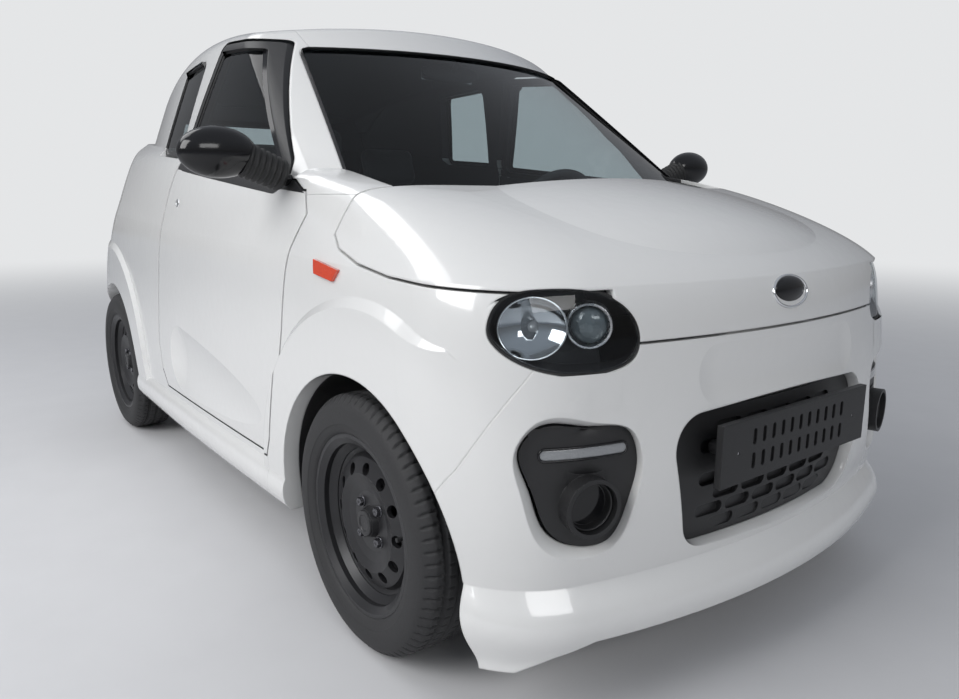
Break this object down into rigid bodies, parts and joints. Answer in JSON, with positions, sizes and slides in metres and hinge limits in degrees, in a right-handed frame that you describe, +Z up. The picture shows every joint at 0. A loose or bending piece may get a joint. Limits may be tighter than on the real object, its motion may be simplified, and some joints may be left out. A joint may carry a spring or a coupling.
{
  "type": "two-seat light quadricycle car",
  "caption": "Small white two-seat city car with side doors, bonnet, tailgate, steered front wheels and bare plate carriers.",
  "frame": {"origin": "middle of the car's box on the ground plane the tyres stand on", "axes": "+X forward, +Y to the car's left, +Z up"},
  "size_m": [2.9604, 1.82, 1.4798],
  "materials": {
    "body_paint": "gloss white paint",
    "black_trim": "grained black plastic",
    "gloss_black": "gloss black plastic",
    "side_glass": "dark tinted glass",
    "lamp_glass": "clear lens",
    "lamp_body": "dark lamp housing",
    "badge_black": "gloss black, bare",
    "amber_lens": "amber lens",
    "red_lens": "red lens",
    "cabin_plastic": "dark grained plastic",
    "seat_fabric": "black woven cloth",
    "frame_metal": "welded aluminium",
    "dark_metal": "dark castings",
    "rim_black": "satin black pressed steel",
    "tyre": "black rubber"
  },
  "bodies": {
    "car": {"front_wing_right": "body_paint", "front_wing_left": "body_paint", "body_side_right": "body_paint", "body_side_left": "body_paint", "front_bumper": "body_paint", "roof_panel": "body_paint", "rear_bumper": "body_paint", "fixed_glass": "side_glass", "headlamp_glasses": "lamp_glass", "headlamp_bodies": "lamp_body", "fog_pods": "black_trim", "front_grille": "black_trim", "front_plate_carrier": "black_trim", "side_repeaters": "amber_lens", "cowl_panel": "black_trim", "tail_lamps": "red_lens", "floor_pan": "cabin_plastic", "seat_bases": "cabin_plastic", "seat_cushions": "seat_fabric", "seat_backs": "seat_fabric", "steering_column": "cabin_plastic", "dashboard": "cabin_plastic", "inner_mirror": "cabin_plastic", "wheel_arch_liners": "black_trim", "chassis_frame": "frame_metal", "engine_block": "dark_metal", "front_struts": "dark_metal", "lower_arms": "dark_metal", "drive_shafts": "dark_metal", "rear_axle": "dark_metal"},
    "door_right_body": {"door_right": "body_paint", "door_frame_right": "black_trim", "door_glass_right": "side_glass", "door_mirror_right": "gloss_black"},
    "steering_right": {"knuckle_right": "dark_metal"},
    "door_left_body": {"door_left": "body_paint", "door_frame_left": "black_trim", "door_glass_left": "side_glass", "door_mirror_left": "gloss_black"},
    "steering_left": {"knuckle_left": "dark_metal"},
    "wheel_front_right": {"rim_front_right": "rim_black", "tyre_front_right": "tyre"},
    "wheel_front_left": {"rim_front_left": "rim_black", "tyre_front_left": "tyre"},
    "wheel_rear_right": {"rim_rear_right": "rim_black", "tyre_rear_right": "tyre"},
    "wheel_rear_left": {"rim_rear_left": "rim_black", "tyre_rear_left": "tyre"},
    "bonnet_body": {"bonnet": "body_paint", "badge": "badge_black"},
    "tailgate_body": {"tailgate": "body_paint", "tailgate_glass": "side_glass"},
    "steering_wheel_body": {"steering_wheel": "cabin_plastic"}
  },
  "joints": [
    {"name": "door_right_hinge", "type": "hinge", "parent": "car", "child": "door_right_body", "pos_m": [0.65, -0.735, 0.6], "axis": [0, 0.052, 0.9986], "range_deg": [0, 65]},
    {"name": "door_left_hinge", "type": "hinge", "parent": "car", "child": "door_left_body", "pos_m": [0.65, 0.735, 0.6], "axis": [0, 0.052, -0.9986], "range_deg": [0, 65]},
    {"name": "bonnet_hinge", "type": "hinge", "parent": "car", "child": "bonnet_body", "pos_m": [0.8, 0, 0.985], "axis": [0, -1, 0], "range_deg": [0, 55]},
    {"name": "tailgate_hinge", "type": "hinge", "parent": "car", "child": "tailgate_body", "pos_m": [-1.106, 0, 1.368], "axis": [0, 1, 0], "range_deg": [0, 75]},
    {"name": "steer_left", "type": "hinge", "parent": "car", "child": "steering_left", "pos_m": [0.924, 0.587, 0.15], "axis": [0, -0.1581, 0.9874], "range_deg": [-30, 30]},
    {"name": "steer_right", "type": "hinge", "parent": "car", "child": "steering_right", "pos_m": [0.924, -0.587, 0.15], "axis": [0, 0.1581, 0.9874], "range_deg": [-30, 30]},
    {"name": "steering_wheel_turn", "type": "hinge", "parent": "car", "child": "steering_wheel_body", "pos_m": [0.392, 0.3, 0.862], "axis": [-0.8988, 0, 0.4384], "range_deg": [-440, 440]},
    {"name": "wheel_front_right_spin", "type": "hinge", "parent": "steering_right", "child": "wheel_front_right", "pos_m": [0.924, -0.648, 0.278], "axis": [0, 1, 0], "continuous": true},
    {"name": "wheel_front_left_spin", "type": "hinge", "parent": "steering_left", "child": "wheel_front_left", "pos_m": [0.924, 0.648, 0.278], "axis": [0, 1, 0], "continuous": true},
    {"name": "wheel_rear_right_spin", "type": "hinge", "parent": "car", "child": "wheel_rear_right", "pos_m": [-1.086, -0.648, 0.278], "axis": [0, 1, 0], "continuous": true},
    {"name": "wheel_rear_left_spin", "type": "hinge", "parent": "car", "child": "wheel_rear_left", "pos_m": [-1.086, 0.648, 0.278], "axis": [0, 1, 0], "continuous": true}
  ],
  "couplings": [
    {"joint": "steer_right", "follows": "steer_left", "ratio": 1},
    {"joint": "steering_wheel_turn", "follows": "steer_left", "ratio": 14}
  ]
}
